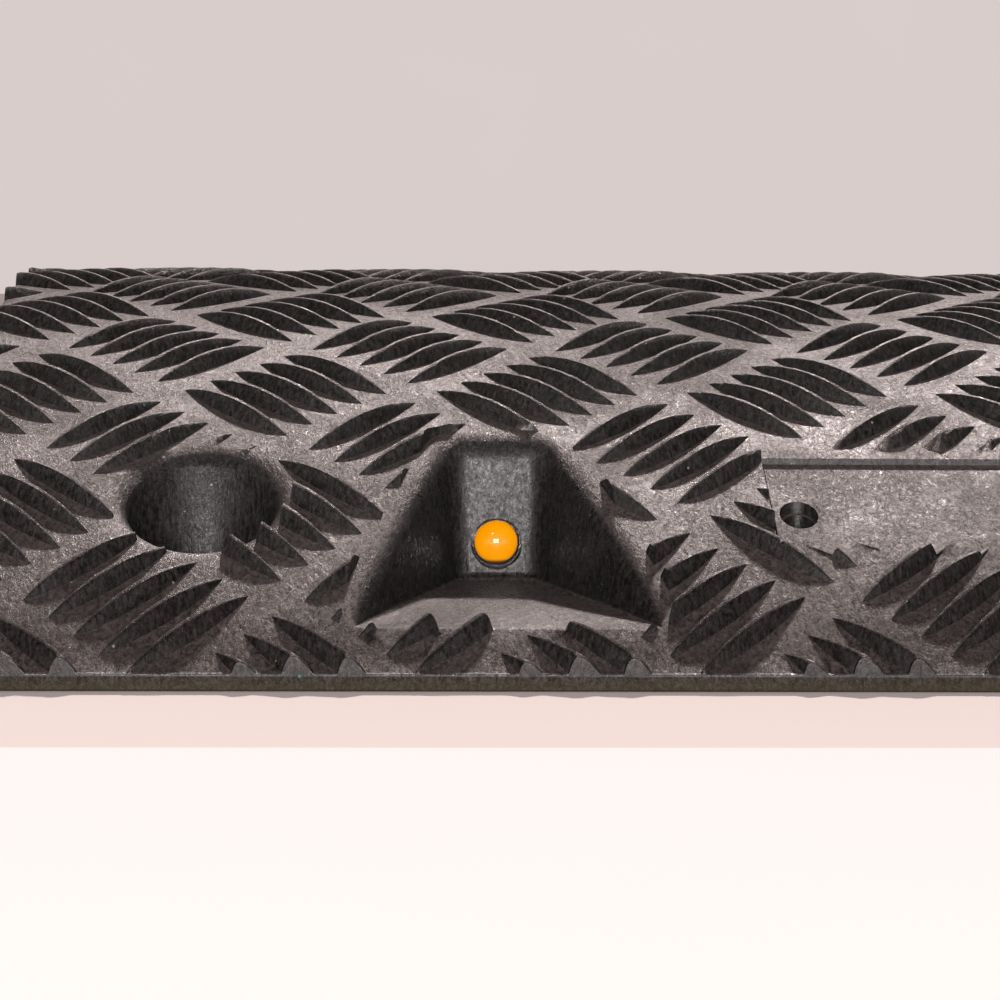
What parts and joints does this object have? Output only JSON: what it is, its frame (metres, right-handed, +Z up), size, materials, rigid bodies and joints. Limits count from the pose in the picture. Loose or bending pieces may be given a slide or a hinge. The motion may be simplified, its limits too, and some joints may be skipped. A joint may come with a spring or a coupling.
{
  "type": "speed hump section",
  "caption": "Arc-topped traffic-calming ramp module with chequer tread, counterbored bolt holes and glass ball reflectors in flared pockets.",
  "frame": {"origin": "on the road surface, under the centre of the module", "axes": "+X along the hump from kerb to kerb, +Y from the front edge to the back edge in the direction of travel, +Z up from the road"},
  "size_m": [0.5, 0.43, 0.0743],
  "materials": {
    "ramp": "dark grey-brown recycled PVC, satin, faintly streaked and fibrous, with sparse coloured flecks",
    "amber_glass": "amber glass ball over a mirrored backing, reads as glossy opaque orange-yellow",
    "mirror_foil": "bright foil"
  },
  "bodies": {
    "root": {"ramp_body": "ramp", "glass_ball_front_left": "amber_glass", "glass_ball_front_right": "amber_glass", "glass_ball_back_left": "amber_glass", "glass_ball_back_right": "amber_glass", "mirror_cup_front_left": "mirror_foil", "mirror_cup_front_right": "mirror_foil", "mirror_cup_back_left": "mirror_foil", "mirror_cup_back_right": "mirror_foil"}
  },
  "joints": []
}
